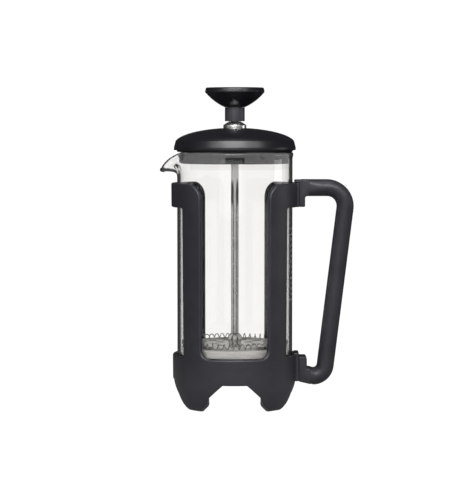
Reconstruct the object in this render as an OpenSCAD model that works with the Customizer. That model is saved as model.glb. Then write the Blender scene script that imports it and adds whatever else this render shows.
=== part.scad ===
// French press: a glass beaker in a moulded frame, with a lid and a plunger.
// The origin is on the beaker's axis, on the plane of the feet. +Z is up,
// the handle is at +X and the spout at -X.

/* [Beaker] */
// Outside diameter of the glass
glass_d = 72; // [60:1:90]
// Wall of the glass
glass_wall = 2.0; // [1.5:0.1:2.5]
// Thickness of the glass's floor
glass_floor = 2.5; // [2:0.1:4]
// Height of the glass from its floor to its rim
glass_h = 135.2; // [110:1:180]
// Outside radius of the glass's lower corner
glass_corner = 5; // [3:0.5:7]
// How far the rim's bead stands out
bead_out = 0.9; // [0.5:0.1:1.2]
// Height of the rim's bead
bead_h = 3.2; // [2:0.2:5]
// Distance of the spout's tip from the glass's wall
spout_reach = 10.8; // [7:0.2:14]
// Height of the spout's underside below the rim
spout_drop = 11.9; // [9:0.5:15]
// Radius of the spout's tip
spout_tip_r = 4.0; // [3:0.5:5]
// Width of the spout where it leaves the glass
spout_w = 38; // [30:1:44]
// Radius of the curve, seen from the side, that the spout's edge falls along
spout_curve = 19.2; // [16:0.2:26]
// Depth of the spout's root below its underside
spout_root = 6; // [4:0.5:9]

/* [Frame] */
// Gap between the glass and the frame
glass_gap = 0.3; // [0.2:0.05:0.6]
// Wall of the frame at its base ring
frame_wall = 2.5; // [2:0.1:4]
// How far the frame's wall thickens towards its top
frame_flare = 0.9; // [0:0.1:1.5]
// Gap between the spout's root and the top of the frame
spout_gap = 1.3; // [0.5:0.1:6]
// Height of the ledge that carries the glass
ledge_z = 24; // [22:0.5:32]
// Thickness of that ledge
ledge_t = 4; // [3:0.5:5]
// Width of the ledge under the glass
ledge_w = 9; // [7:0.5:14]
// Height of the base ring above the ledge
ring_up = 9.1; // [8:0.1:20]
// Height of the upper bands
band_h = 15.6; // [12:0.2:30]
// Width of the front and back windows
window_w = 38; // [28:1:42]
// Width of the side windows
side_w = 44; // [30:1:46]
// Radius of the posts' upper corners
post_corner = 10; // [4:0.5:12]
// Radius of the front and back windows' lower corners
window_corner = 5.5; // [2:0.5:8]
// Radius of the side windows' corners
side_corner = 3; // [1:0.5:6]

/* [Feet] */
// Thickness of a foot where it meets the base ring
foot_t = 7.8; // [6:0.1:9]
// Thickness of the base ring between an arch and the ledge's underside
arch_roof = 2; // [1:0.1:4]
// Height of an arch's slopes
arch_slope = 7.6; // [5:0.2:9]
// Width of an arch at its top
arch_top_w = 14.8; // [8:0.5:18]
// Width of an arch at the foot of its slopes
arch_w = 31.4; // [26:0.5:34]
// Lean of the feet's side faces below the slopes
foot_lean = 32; // [10:1:36]
// How far a foot draws in below the base ring
foot_draw = 2.2; // [1:0.1:3]
// Radius of a foot's lower outer edge
foot_edge = 3.0; // [2:0.2:4]

/* [Handle] */
// Thickness of the handle's bar, seen from the side
bar_t = 10.6; // [8:0.2:14]
// Width of the handle's bar
bar_w = 15; // [12:0.5:20]
// Distance of the middle of the handle's upper bar below the frame's top
bar_top_down = 3.1; // [2:0.1:7]
// Distance of the middle of the handle's lower bar below the ledge
bar_low_down = 5.3; // [3:0.1:8]
// Middle radius of the handle's upper bend
bend_top_r = 11.5; // [8:0.5:16]
// Middle radius of the handle's lower bend
bend_low_r = 7.7; // [6.5:0.1:10]
// Distance from the frame's flats to the centre of the upper bend
reach = 17.4; // [12:0.2:30]
// Lean of the grip
grip_lean = 7; // [3:0.5:9]
// Thickness of the upper pad
pad_top_t = 3.7; // [3:0.1:5]
// Thickness of the lower pad
pad_low_t = 5; // [4:0.1:6]
// How far the pads stand out beside the bar
pad_side = 0.4; // [0.3:0.1:1]
// Distance of the lower pad's top below the base ring's top
pad_low_down = 1.6; // [0:0.1:1.8]
// Distance of the upper pad's foot above the underside of the upper bands
pad_top_up = 0.7; // [0:0.1:2]
// How far the pads stay short of the bars' outer sides
pad_short = 0.4; // [0.2:0.1:1]
// Height of the frame's lower flat above its base ring's top
flat_up = 0.8; // [0:0.1:2]
// How far the frame's flats stand out of its top edge
flat_out = 0.3; // [0.2:0.1:1]

/* [Screws] */
// Radius of the handle screws' shanks
screw_r = 1.6; // [1.2:0.1:2]
// Radius of their countersunk heads
screw_head_r = 3.3; // [2.6:0.1:3.6]
// Length of the screws
screw_len = 7.0; // [6:0.1:7.2]
// Clearance round the screws
screw_gap = 0.05; // [0:0.01:0.2]

/* [Lid] */
// Radial gap between the lid's skirt and the glass
skirt_gap = 0.4; // [0.3:0.05:0.8]
// Wall of the skirt
skirt_wall = 1.6; // [1.2:0.1:2.5]
// Depth of the skirt below the glass's rim
skirt_depth = 7.2; // [6:0.2:12]
// Width of the pouring notch in the skirt
notch_w = 11.6; // [8:0.2:16]
// Height of the pouring notch
notch_h = 4.4; // [4.2:0.1:5]
// How far the lid's rim stands out of the glass
lid_over = 2.05; // [1.2:0.05:3]
// Height of the lid's upright rim
lid_rim_h = 3.3; // [2:0.1:5]
// Height of the lid's shoulder above the glass's rim
shoulder_h = 6.7; // [5:0.1:8]
// How far the shoulder draws in
shoulder_in = 1.15; // [0.5:0.05:2]
// Height of the dome above the glass's rim
dome_h = 14.7; // [12:0.1:20]
// Wall of the lid
lid_wall = 2.2; // [1.6:0.1:3]

/* [Bush] */
// Radius of the bush's head
bush_r = 7.2; // [6:0.1:9]
// Height of the bush's head
bush_h = 4.4; // [3:0.1:6]
// Height of the cone at the top of the bush's head
bush_cone_h = 1.8; // [1:0.1:2.5]
// Radius of the flat on top of that cone
bush_top_r = 4.4; // [3.8:0.1:6]
// Radius of the bush's neck
bush_neck_r = 4.2; // [3.8:0.1:5]
// Running clearance between the rod and the bush
rod_fit = 0.08; // [0.03:0.01:0.10]
// Gap round the bush's neck, in which the lid turns
neck_gap = 0.3; // [0.3:0.05:0.6]
// Depth of the flat seat in the top of the dome
seat_depth = 0.6; // [0.4:0.1:0.8]
// Thickness of the washer under the lid
bush_washer_t = 0.8; // [0.5:0.1:1.2]
// Width across the flats of the nut under the lid
bush_nut_w = 13; // [11:0.5:15]
// Height of that nut
bush_nut_h = 3.6; // [3:0.1:5]

/* [Plunger] */
// Diameter of the rod
rod_d = 4.8; // [4:0.1:6]
// Height of the rod's lower end above the plate
rod_seat = 0.5; // [0.3:0.1:2]
// Gap between the filter and the glass's floor, with the knob down
filter_gap = 6.1; // [3:0.1:12]
// Thickness of the stop washer
stop_t = 0.5; // [0.4:0.1:1.5]
// Radius of the stop washer
stop_r = 3.9; // [3.2:0.1:4.4]
// Radius of the knob's collar
collar_r = 6.2; // [5.5:0.1:8]
// Height of the collar
collar_h = 8.8; // [6:0.2:12]
// Wall of the collar round the insert
collar_wall = 2; // [1.5:0.1:2.4]
// Largest radius of the knob
knob_r = 18.6; // [14:0.2:24]
// Height of the knob above its collar
knob_h = 12.2; // [9:0.2:16]
// Height of the knob's upright rim
knob_rim = 3.7; // [2:0.1:5]
// Radius of the bowl's curve
bowl_r = 33; // [26:1:60]

/* [Filter] */
// Radial gap between the gauze's skirt and the glass
mesh_gap = 0.4; // [0.3:0.05:0.8]
// Thickness of the gauze
mesh_t = 0.6; // [0.4:0.1:1]
// Depth of the gauze's skirt
mesh_depth = 5; // [3:0.2:6]
// Thickness of the plate
plate_t = 0.8; // [0.6:0.1:1.2]
// Outside radius of the edge spring's coil
coil_r = 1.9; // [1.5:0.1:2.2]
// Gap between the edge spring and the glass
coil_gap = 0.6; // [0.4:0.1:1]
// Radius of the hub
hub_r = 4.6; // [4:0.1:6]
// Height of the hub above the plate
hub_h = 7; // [5.5:0.1:10]
// Radius of the hub's stud
stud_r = 2.0; // [1.6:0.1:2.4]
// Thickness of the strainer plate
strainer_t = 0.8; // [0.6:0.1:1.2]
// Gap between the strainer plate and the gauze's skirt
strainer_gap = 2; // [0.5:0.1:4]
// Radius of the strainer plate's holes
strainer_hole = 1.6; // [1:0.1:2]
// Radius of the upper plate's holes
plate_hole = 3; // [2:0.1:3.4]
// How far the stud stands out of its nut
stud_out = 0.6; // [0.2:0.1:2]
// Height of the filter's nut
filter_nut_h = 3.6; // [3:0.1:5]
// Width across the flats of the filter's nut
filter_nut_w = 9; // [7:0.5:11]

/* [Hidden] */
$fn = 96;

black = "#33323a";
steel = "#c9cacc";
over = 1; // a cutter's run past a face
edge = 0.8; // the small chamfers and steps

glass_r = glass_d / 2;
bore_r = glass_r - glass_wall;
rim_z = ledge_z + glass_h;
frame_in = glass_r + glass_gap;
frame_r = frame_in + frame_wall;
frame_top_r = frame_r + frame_flare;
frame_h = rim_z - spout_drop - spout_root - spout_gap;
ring_top = ledge_z + ring_up;
band_z = frame_h - band_h;
ledge_r = glass_r - ledge_w;
foot_inner_r = frame_r - foot_t;
arch_h = ledge_z - ledge_t - arch_roof;
arch_knee = arch_h - arch_slope;
flat_x = frame_top_r + flat_out;
flat_w = bar_w + 2 * pad_side + 0.4;
flat_low_z = arch_h - 2; // the lower flat hangs a little below the arch's top
bar_top_z = frame_h - bar_top_down;
bar_low_z = ledge_z - bar_low_down;
far = frame_top_r + 6; // clear of the frame

rod_r = rod_d / 2;
skirt_r = bore_r - skirt_gap;
skirt_in = skirt_r - skirt_wall;
skirt_z = rim_z - skirt_depth;
lid_r = glass_r + lid_over;
shoulder_r = lid_r - shoulder_in;
cap_in_r = skirt_r + neck_gap;
dome_top = rim_z + dome_h;
seat_z = dome_top - seat_depth;
under_z = seat_z - lid_wall + seat_depth; // the flat under the dome's middle
web_top = rim_z + shoulder_h - lid_wall; // top of the skirt's web, on the lid's inner shoulder
seat_r = bush_r + edge;
bush_low_z = under_z - bush_washer_t - bush_nut_h - edge;

coil_lip = 0.9; // height of the plate's upturned rim, which holds the coil
coil_side = 0.1; // gap between that rim and the coil

stop_z = seat_z + bush_h;
collar_z = stop_z + stop_t;
knob_z = collar_z + collar_h;
insert_r = collar_r - collar_wall;
rod_top = knob_z + knob_h / 2;

mesh_r = bore_r - mesh_gap;
filter_low = ledge_z + glass_floor + filter_gap + stud_out; // the nut's lower face
strainer_z = filter_low + filter_nut_h;
mesh_z = strainer_z + strainer_t;
plate_z = mesh_z + mesh_t;
hub_z = plate_z + plate_t;
rod_low_z = hub_z + rod_seat;
strainer_r = mesh_r - mesh_t - strainer_gap;
coil_ring = bore_r - coil_gap - coil_r; // radius of the ring that the coil's middle follows
coil_z = hub_z + coil_r / 2 + coil_lip / 2;
plate_r = coil_ring - coil_r - coil_side;

grip_dir = [-sin(grip_lean), -cos(grip_lean)]; // down the grip, in X and Z
bend_top = [flat_x + reach, bar_top_z - bend_top_r];
grip_start = bend_top + bend_top_r * [cos(grip_lean), -sin(grip_lean)];
bend_low_z = bar_low_z + bend_low_r;
grip_run = (grip_start[1] - bend_low_z + bend_low_r * sin(grip_lean)) / cos(grip_lean);
grip_end = grip_start + grip_run * grip_dir;
bend_low = [grip_end[0] - bend_low_r * cos(grip_lean), bend_low_z];

screw_x = frame_in + 0.2; // the heads lie just below the frame's inner face
screw_top_z = bar_top_z - screw_head_r;
screw_low_z = ledge_z + screw_head_r + edge;
head_t = screw_head_r - screw_r; // a 90 degree countersink

// points of an arc from angle a0 to angle a1 about c
function arc(c, r, a0, a1, n = 8) =
    [for (i = [0:n]) c + r * [cos(a0 + (a1 - a0) * i / n), sin(a0 + (a1 - a0) * i / n)]];

// height of the dome's outer face at radius r
function dome_z(r) =
    let (low = shoulder_h - 2.4) rim_z + low + (dome_h - low) * sqrt(1 - pow(r / lid_r, 2));

module hexagon(w) circle(r = w / sqrt(3), $fn = 6);

module ring(r_out, r_in, h) difference() {
    cylinder(r = r_out, h = h);
    translate([0, 0, -over]) cylinder(r = r_in, h = h + 2 * over);
}

// half section of the frame: the base, its ledge and the wall above
module frame_section() {
    draw_z = arch_h - 2;
    draw_r = (pow(draw_z - foot_edge, 2) + pow(foot_draw, 2)) / (2 * foot_draw);
    polygon(concat(
        [[foot_inner_r, 0]],
        arc([frame_r - foot_draw - foot_edge, foot_edge], foot_edge, -90, -8, 6),
        arc([frame_r - draw_r, draw_z], draw_r, -asin((draw_z - foot_edge) / draw_r), 0, 6),
        [
            [frame_top_r, frame_h],
            [frame_in, frame_h],
            [frame_in, ledge_z],
            [ledge_r, ledge_z],
            [ledge_r, ledge_z - ledge_t],
            [foot_inner_r, ledge_z - ledge_t]
        ]));
}

// outline of the front and back windows, which open at the top
module open_window() {
    half = window_w / 2;
    corner_z = frame_h - post_corner;
    polygon(concat(
        arc([half - window_corner, ring_top + window_corner], window_corner, -90, 0),
        arc([half + post_corner, corner_z], post_corner, 180, 90),
        [[half + post_corner, frame_h + over], [-half - post_corner, frame_h + over]],
        arc([-half - post_corner, corner_z], post_corner, 90, 0),
        arc([window_corner - half, ring_top + window_corner], window_corner, 180, 270)));
}

// outline of the side windows
module side_window() {
    x = side_w / 2 - side_corner;
    z0 = ring_top + side_corner;
    z1 = band_z - side_corner;
    polygon(concat(
        arc([x, z0], side_corner, -90, 0, 5),
        arc([x, z1], side_corner, 0, 90, 5),
        arc([-x, z1], side_corner, 90, 180, 5),
        arc([-x, z0], side_corner, 180, 270, 5)));
}

// extrudes an outline in X and Z through the wall at -Y
module through_front() translate([0, -frame_in / 2, 0]) rotate([90, 0, 0])
    linear_extrude(height = far - frame_in / 2) children();

// all that lies to one side of a foot's leaning face
module lean_half(side) {
    foot_a = asin(arch_w / 2 / frame_r);
    rotate([0, 0, side * foot_a]) translate([0, 0, arch_knee]) rotate([0, -side * foot_lean, 0])
        translate([side > 0 ? -2 * far : 0, -2 * far, -2 * far]) cube([2 * far, 2 * far, 4 * far]);
}

// the arch between two feet at -Y: a straight upper part, and leaning faces that point to the axis
module arch() {
    through_front() polygon([
        [-arch_w / 2, arch_knee], [arch_w / 2, arch_knee],
        [arch_top_w / 2, arch_h], [-arch_top_w / 2, arch_h]]);
    intersection() {
        lean_half(1);
        lean_half(-1);
        translate([-far, -far, -over]) cube([2 * far, far - ledge_r + 4, arch_knee + over]);
    }
}

// a flat boss on the frame, which the handle is screwed to
module flat_boss(z0, z1) difference() {
    translate([frame_in - 2, -flat_w / 2, z0]) cube([flat_x - frame_in + 2, flat_w, z1 - z0]);
    translate([0, 0, z0 - over]) cylinder(r = frame_in, h = z1 - z0 + 2 * over);
}

// a screw's solid, larger all round by gap
module screw(z, gap = 0) translate([screw_x, 0, z]) rotate([0, 90, 0]) {
    cylinder(r1 = screw_head_r + gap, r2 = screw_r + gap, h = head_t);
    cylinder(r = screw_r + gap, h = screw_len + gap);
}

module frame() color(black) difference() {
    union() {
        rotate_extrude() frame_section();
        flat_boss(band_z, frame_h);
        flat_boss(flat_low_z, ring_top + flat_up);
    }
    for (a = [0, 180]) rotate([0, 0, a]) through_front() open_window();
    for (a = [90, 270]) rotate([0, 0, a]) through_front() side_window();
    for (a = [0, 90, 180, 270]) rotate([0, 0, a]) arch();
    for (z = [screw_low_z, screw_top_z]) {
        screw(z, screw_gap);
        // way for the head from the frame's inner face
        translate([frame_in - 2, 0, z]) rotate([0, 90, 0])
            cylinder(r = screw_head_r + screw_gap, h = screw_x - frame_in + 2);
    }
}

// the bar's middle line in X and Z, each point with the angle of its outer side
function bar_line(n = 12) = concat(
    [[[flat_x + pad_top_t / 2, bar_top_z], 90]],
    [for (i = [0:n]) let (a = 90 - (90 + grip_lean) * i / n)
        [bend_top + bend_top_r * [cos(a), sin(a)], a]],
    [for (i = [0:n]) let (a = -grip_lean - (90 - grip_lean) * i / n)
        [bend_low + bend_low_r * [cos(a), sin(a)], a]],
    [[[flat_x + pad_low_t / 2, bar_low_z], -90]]);

// the bar's section: two half circles apart, out from the middle line and across it
function bar_section(n = 24) = [for (i = [0:n - 1]) let (a = 360 * (i + 0.5) / n)
    [bar_t / 2 * cos(a), bar_t / 2 * sin(a) + sign(sin(a)) * (bar_w - bar_t) / 2]];

// the section swept along the middle line
module bar() {
    line = bar_line();
    section = bar_section();
    n = len(section);
    last = (len(line) - 1) * n;
    polyhedron(
        points = [for (s = line, p = section)
            [s[0][0] + p[0] * cos(s[1]), p[1], s[0][1] + p[0] * sin(s[1])]],
        faces = concat(
            [[for (i = [n - 1:-1:0]) i], [for (i = [0:n - 1]) last + i]],
            [for (k = [0:len(line) - 2], i = [0:n - 1]) let (a = k * n, j = (i + 1) % n)
                each [[a + i, a + j, a + n + i], [a + j, a + n + j, a + n + i]]]));
}

module pad(t, z0, z1) translate([flat_x, -bar_w / 2 - pad_side, z0])
    cube([t, bar_w + 2 * pad_side, z1 - z0]);

module handle() color(black) difference() {
    union() {
        pad(pad_top_t, band_z + pad_top_up, bar_top_z + bar_t / 2 - pad_short);
        pad(pad_low_t, bar_low_z - bar_t / 2 + pad_short, ring_top - pad_low_down);
        bar();
    }
    for (z = [screw_low_z, screw_top_z]) screw(z, screw_gap);
}

module handle_screws() color(steel) for (z = [screw_low_z, screw_top_z]) screw(z);

// half section of the glass
module glass_section() {
    in_corner = glass_corner - glass_wall;
    polygon(concat(
        [[0, ledge_z]],
        arc([glass_r - glass_corner, ledge_z + glass_corner], glass_corner, -90, 0),
        [[glass_r, rim_z - bead_h - bead_out]],
        arc([glass_r, rim_z - bead_h / 2] - [0.1, 0], bead_out + 0.1, -60, 60, 6),
        [[glass_r, rim_z], [bore_r, rim_z]],
        [[bore_r, ledge_z + glass_floor + in_corner]],
        arc([bore_r - in_corner, ledge_z + glass_floor + in_corner], in_corner, 0, -90, 6),
        [[0, ledge_z + glass_floor]]));
}

// a beak from the glass's wall to the spout's tip, smaller all round by inset
module beak(inset) hull() {
    reach_x = glass_r + spout_reach - spout_tip_r;
    low = rim_z - spout_drop + inset;
    intersection() {
        translate([0, 0, rim_z - spout_drop - spout_root + 2 * inset])
            cylinder(r = bore_r - inset + 0.6, h = spout_drop + spout_root + over, $fn = 64);
        translate([-2 * glass_r, inset - spout_w / 2, 0])
            cube([1.25 * glass_r, spout_w - 2 * inset, 2 * rim_z]);
    }
    translate([-reach_x, 0, low]) cylinder(r = spout_tip_r - inset, h = spout_drop + over, $fn = 32);
}

module beaker() color("lightblue", 0.4) difference() {
    union() {
        rotate_extrude() glass_section();
        intersection() {
            beak(0);
            translate([0, 0, ledge_z]) cylinder(r = 2 * glass_r, h = glass_h);
        }
    }
    difference() {
        beak(glass_wall);
        translate([0, 0, ledge_z]) cylinder(r = bore_r - 6, h = glass_h);
    }
    cylinder_bore();
    spout_edge();
}

// all that lies outside the curve of the spout's edge, seen from the side
module spout_edge() {
    edge_x = sqrt(pow(spout_curve, 2) - pow(spout_curve - spout_drop, 2)) - glass_r - spout_reach;
    translate([0, glass_d, 0]) rotate([90, 0, 0]) linear_extrude(height = 2 * glass_d) difference() {
        translate([-2 * glass_r, rim_z - spout_drop]) square([2 * glass_r + edge_x, spout_drop + over]);
        translate([edge_x, rim_z - spout_curve]) circle(r = spout_curve);
    }
}

// the glass's bore above its lower corner
module cylinder_bore() translate([0, 0, ledge_z + glass_floor + glass_corner])
    cylinder(r = bore_r, h = glass_h);

// half section of the lid: its rim, shoulder and dome, the seat round the hole, and the inside
module lid_section(n = 14) {
    hole = bush_neck_r + neck_gap;
    polygon(concat(
        [[cap_in_r, rim_z], [lid_r - edge, rim_z], [lid_r, rim_z + edge]],
        [[lid_r, rim_z + lid_rim_h], [shoulder_r, rim_z + shoulder_h]],
        [for (i = [n:-1:1]) let (r = seat_r + (shoulder_r - edge - seat_r) * i / n) [r, dome_z(r)]],
        [[seat_r, seat_z], [hole, seat_z], [hole, under_z], [seat_r, under_z]],
        [for (i = [1:n]) let (r = seat_r + (cap_in_r - edge - seat_r) * i / n)
            [r, min(under_z, dome_z(r) - lid_wall)]],
        [[cap_in_r, web_top]]));
}

module lid_cap() color(black) rotate_extrude() lid_section();

module lid_skirt() color("#5a5b60") difference() {
    union() {
        translate([0, 0, skirt_z]) ring(skirt_r, skirt_in, web_top - skirt_z);
        translate([0, 0, web_top - skirt_wall]) ring(skirt_r, bush_nut_w / 2 + 3, skirt_wall);
        // a short ledge over the pouring notch
        intersection() {
            translate([0, 0, skirt_z + notch_h + edge]) ring(skirt_r + skirt_gap / 2, skirt_in, edge);
            translate([-notch_w / 2 - over, -bore_r, 0])
                cube([notch_w + 2 * over, bore_r / 2, 2 * rim_z]);
        }
    }
    translate([-notch_w / 2, -bore_r, skirt_z - over]) cube([notch_w, bore_r / 2, notch_h + over]);
}

module lid_bush() color(steel) difference() {
    union() {
        translate([0, 0, seat_z]) cylinder(r = bush_r, h = bush_h - bush_cone_h);
        translate([0, 0, stop_z - bush_cone_h])
            cylinder(r1 = bush_r, r2 = bush_top_r, h = bush_cone_h);
        translate([0, 0, bush_low_z]) cylinder(r = bush_neck_r, h = seat_z - bush_low_z + over);
    }
    translate([0, 0, bush_low_z - over]) cylinder(r = rod_r + rod_fit, h = stop_z - bush_low_z + 2 * over);
}

module bush_washer() color(steel)
    translate([0, 0, under_z - bush_washer_t]) ring(bush_r, bush_neck_r, bush_washer_t);

module bush_nut() color(steel) translate([0, 0, under_z - bush_washer_t - bush_nut_h])
    difference() {
        linear_extrude(height = bush_nut_h) hexagon(bush_nut_w);
        translate([0, 0, -over]) cylinder(r = bush_neck_r, h = bush_nut_h + 2 * over);
    }

module plunger_rod() color(steel)
    translate([0, 0, rod_low_z]) cylinder(r = rod_r, h = rod_top - rod_low_z);

// half section of the knob, whose bowl is an arc from the collar out to the rim
module knob_section() {
    rim_low = knob_z + knob_h - knob_rim;
    bowl_end = knob_r - edge;
    chord = [bowl_end - collar_r, rim_low - knob_z];
    half = norm(chord) / 2;
    tilt = atan2(chord[1], chord[0]);
    centre = [collar_r, knob_z] + chord / 2
        + sqrt(bowl_r * bowl_r - half * half) * [-sin(tilt), cos(tilt)];
    a0 = atan2(knob_z - centre[1], collar_r - centre[0]);
    a1 = atan2(rim_low - centre[1], bowl_end - centre[0]);
    polygon(concat(
        [[0, knob_z]],
        arc(centre, bowl_r, a0, a1, 8),
        [[knob_r, rim_low + edge], [knob_r, knob_z + knob_h - edge]],
        [[knob_r - edge / 2, knob_z + knob_h], [0, knob_z + knob_h]]));
}

module knob() color(black) difference() {
    rotate_extrude() knob_section();
    translate([0, 0, knob_z - over]) cylinder(r = insert_r, h = rod_top - knob_z + over);
}

module knob_collar() color(black) translate([0, 0, collar_z]) ring(collar_r, insert_r, collar_h);

module knob_insert() color("#b89a55")
    translate([0, 0, collar_z]) ring(insert_r, rod_r, rod_top - collar_z);

module stop_washer() color("#222226")
    translate([0, 0, stop_z]) ring(stop_r, rod_r, stop_t);

// half section of the hub: a drum with a domed top
module hub_section() {
    dome_c = hub_z + hub_h - hub_r * sin(60);
    polygon(concat(
        [[0, hub_z], [hub_r - edge, hub_z], [hub_r - edge, dome_c - edge]],
        arc([0, dome_c], hub_r, 0, 60, 8),
        [[0, dome_c + hub_r * sin(60)]]));
}

module filter_hub() color(steel) difference() {
    union() {
        rotate_extrude() hub_section();
        translate([0, 0, filter_low - stud_out])
            cylinder(r = stud_r, h = hub_z + rod_seat / 2 - filter_low + stud_out);
    }
    translate([0, 0, rod_low_z]) cylinder(r = rod_r, h = hub_h + over);
}

// a round plate at z with a central hole for the stud and rings of round holes, from radius
// first outwards and step apart, as many as keep the holes a step apart and off the edge
module pierced_plate(z, r, t, first, step, hole) translate([0, 0, z]) difference() {
    cylinder(r = r, h = t);
    translate([0, 0, -over]) cylinder(r = stud_r, h = t + 2 * over);
    for (ring_r = [first:step:r - hole - 1]) let (n = floor(2 * PI * ring_r / step))
        for (i = [0:n - 1]) rotate([0, 0, 360 * i / n])
            translate([ring_r, 0, -over]) cylinder(r = hole, h = t + 2 * over, $fn = 24);
}

module spiral_plate() color(steel) {
    pierced_plate(plate_z, plate_r, plate_t, 13, 9.5, plate_hole);
    translate([0, 0, hub_z]) ring(plate_r, plate_r - plate_t, coil_lip);
}

module edge_spring() color(steel) translate([0, 0, coil_z]) rotate_extrude()
    translate([coil_ring, 0]) circle(r = coil_r);

module filter_mesh() color("#b9b6b0") {
    translate([0, 0, mesh_z]) ring(mesh_r, stud_r, mesh_t);
    translate([0, 0, mesh_z + mesh_t - mesh_depth]) ring(mesh_r, mesh_r - mesh_t, mesh_depth - mesh_t);
}

module strainer_plate() color(steel)
    pierced_plate(strainer_z, strainer_r, strainer_t, 9, 6, strainer_hole);

module filter_nut() color(steel) translate([0, 0, filter_low]) difference() {
    linear_extrude(height = filter_nut_h) hexagon(filter_nut_w);
    translate([0, 0, -over]) cylinder(r = stud_r, h = filter_nut_h + 2 * over);
}

frame();
handle();
handle_screws();
beaker();
lid_cap();
lid_skirt();
lid_bush();
bush_washer();
bush_nut();
plunger_rod();
knob();
knob_collar();
knob_insert();
stop_washer();
filter_hub();
spiral_plate();
edge_spring();
filter_mesh();
strainer_plate();
filter_nut();
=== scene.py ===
from math import asin, atan2, copysign, cos, degrees, exp, hypot, inf, pi, radians, remainder, sin, sqrt, tan

import bmesh
import bpy
from mathutils import Matrix, Vector


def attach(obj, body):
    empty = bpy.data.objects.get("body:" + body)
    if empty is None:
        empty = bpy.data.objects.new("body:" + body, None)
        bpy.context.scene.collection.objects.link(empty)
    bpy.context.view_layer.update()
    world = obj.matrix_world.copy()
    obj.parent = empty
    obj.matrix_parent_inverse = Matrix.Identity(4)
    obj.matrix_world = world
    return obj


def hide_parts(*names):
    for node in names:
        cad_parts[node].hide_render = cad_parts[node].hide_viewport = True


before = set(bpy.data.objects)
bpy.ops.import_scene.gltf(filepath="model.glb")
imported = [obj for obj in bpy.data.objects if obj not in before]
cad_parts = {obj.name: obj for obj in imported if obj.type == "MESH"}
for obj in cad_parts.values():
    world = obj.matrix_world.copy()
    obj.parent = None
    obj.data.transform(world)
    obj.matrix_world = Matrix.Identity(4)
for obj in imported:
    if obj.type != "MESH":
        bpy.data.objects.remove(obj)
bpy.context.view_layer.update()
scene = bpy.context.scene
mm = 0.001
print("frame loaded:", len(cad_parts), "nodes")


# ---- shader and geometry maths


class Level:  # a value that changes over a surface or along a curve
    def __init__(self, book, socket):
        self.book, self.socket = book, socket

    def __add__(self, other):
        return self.book.calc("ADD", self, other)

    __radd__ = __add__

    def __sub__(self, other):
        return self.book.calc("SUBTRACT", self, other)

    def __rsub__(self, other):
        return self.book.calc("SUBTRACT", other, self)

    def __mul__(self, other):
        return self.book.calc("MULTIPLY", self, other)

    __rmul__ = __mul__

    def __truediv__(self, other):
        return self.book.calc("DIVIDE", self, other)

    def __rtruediv__(self, other):
        return self.book.calc("DIVIDE", other, self)


class Book:  # the nodes of one material, world or geometry tree
    def __init__(self, tree):
        self.tree = tree
        tree.nodes.clear()

    def add(self, kind, settings=None, sockets=None, out=0):
        node = self.tree.nodes.new(kind)
        for name, value in (settings or {}).items():
            setattr(node, name, value)
        for key, value in (sockets or {}).items():
            if isinstance(value, Level):
                self.tree.links.new(value.socket, node.inputs[key])
            else:
                node.inputs[key].default_value = value
        return Level(self, node.outputs[out]) if len(node.outputs) else None

    def calc(self, operation, first, second=0.0):
        return self.add("ShaderNodeMath", {"operation": operation}, {0: first, 1: second})

    def coords(self, kind="Object"):
        return self.add("ShaderNodeTexCoord", out=kind)

    def stretch(self, vector, scale):
        return self.add("ShaderNodeVectorMath", {"operation": "MULTIPLY"}, {0: vector, 1: scale})

    def length(self, vector):
        return self.add("ShaderNodeVectorMath", {"operation": "LENGTH"}, {0: vector}, "Value")

    def split(self, vector):
        parts = self.add("ShaderNodeSeparateXYZ", sockets={0: vector})
        return [Level(self, out) for out in parts.socket.node.outputs]

    def join(self, x=0.0, y=0.0, z=0.0):
        return self.add("ShaderNodeCombineXYZ", sockets={0: x, 1: y, 2: z})

    def noise(self, vector, scale, detail, rough):
        sockets = {"Vector": vector, "Scale": scale, "Detail": detail, "Roughness": rough}
        return self.add("ShaderNodeTexNoise", sockets=sockets)

    def ramp(self, value, low, high, toLow=0.0, toHigh=1.0):
        sockets = {0: value, 1: low, 2: high, 3: toLow, 4: toHigh}
        return self.add("ShaderNodeMapRange", {"interpolation_type": "SMOOTHSTEP"}, sockets)

    def blend(self, mask, first, second):
        return self.add("ShaderNodeMix", {"data_type": "RGBA"}, {0: mask, 6: first, 7: second}, 2)

    def bump(self, height, strength, depth):
        return self.add("ShaderNodeBump", sockets={
            "Height": height, "Strength": strength, "Distance": depth * mm})


def finish(name):
    material = bpy.data.materials.new(name)
    material.use_nodes = True
    return material, Book(material.node_tree)


def surface(book, sockets):
    shader = book.add("ShaderNodeBsdfPrincipled", sockets=sockets)
    book.add("ShaderNodeOutputMaterial", sockets={"Surface": shader})


def grey(value, warm=0.0):
    return (value * (1 + warm), value, value * (1 - warm), 1)


# ---- materials

plastics = {
    "framePlastic": dict(dark=0.019, light=0.026, blue=1.25, rough=0.42, grain=0.35, scuff=0.10, gloss=0.45),
    "handlePlastic": dict(dark=0.020, light=0.027, blue=1.25, rough=0.46, grain=0.45, scuff=0.12, gloss=0.34),
    "lidPlastic": dict(dark=0.005, light=0.007, blue=1.4, rough=0.34, grain=0.20, scuff=0.06, gloss=0.5),
    "collarPlastic": dict(dark=0.036, light=0.046, blue=1.2, rough=0.40, grain=0.25, scuff=0.08, gloss=0.5),
    "skirtPlastic": dict(dark=0.072, light=0.095, blue=1.04, rough=0.30, grain=0.20, scuff=0.05, gloss=0.7),
}

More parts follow.
